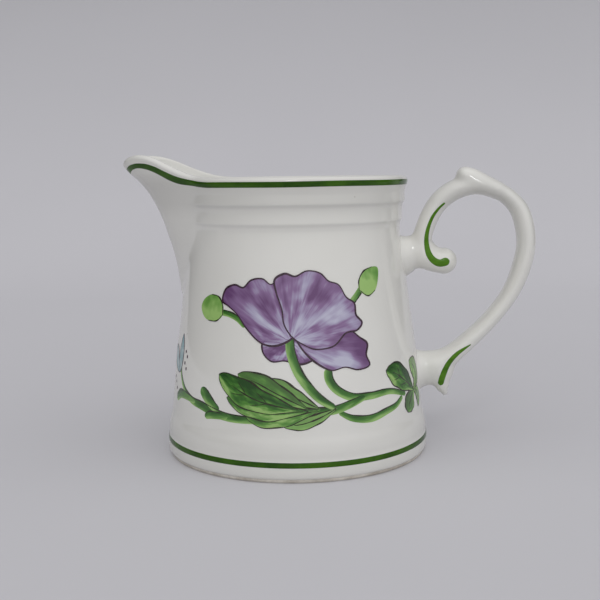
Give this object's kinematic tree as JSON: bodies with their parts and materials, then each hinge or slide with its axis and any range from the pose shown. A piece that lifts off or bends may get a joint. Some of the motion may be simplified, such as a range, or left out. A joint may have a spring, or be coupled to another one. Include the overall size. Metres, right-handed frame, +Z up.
{
  "type": "porcelain cream jug",
  "caption": "Small porcelain cream jug with a ribbed tapered barrel, a raised pouring lip, a scrolled strap handle, green enamel lines and a painted poppy spray.",
  "frame": {"origin": "centre of the foot's flat face", "axes": "+Z up, +X from the spout towards the handle; XZ is the plane of symmetry"},
  "size_m": [0.1333, 0.085, 0.0961],
  "materials": {
    "glazed_porcelain": "clear gloss glaze over white porcelain",
    "bare_porcelain": "unglazed foot, smooth and matt",
    "green_enamel": "deep green on-glaze enamel line, glossy"
  },
  "bodies": {
    "root": {"body": "glazed_porcelain", "spout": "glazed_porcelain", "foot_ring": "bare_porcelain", "handle": "glazed_porcelain", "upper_handle_joint": "glazed_porcelain", "lower_handle_joint": "glazed_porcelain", "rim_line": "green_enamel", "base_line": "green_enamel", "scroll_line_front": "green_enamel", "scroll_line_back": "green_enamel", "spur_line_front": "green_enamel", "spur_line_back": "green_enamel"}
  },
  "joints": []
}
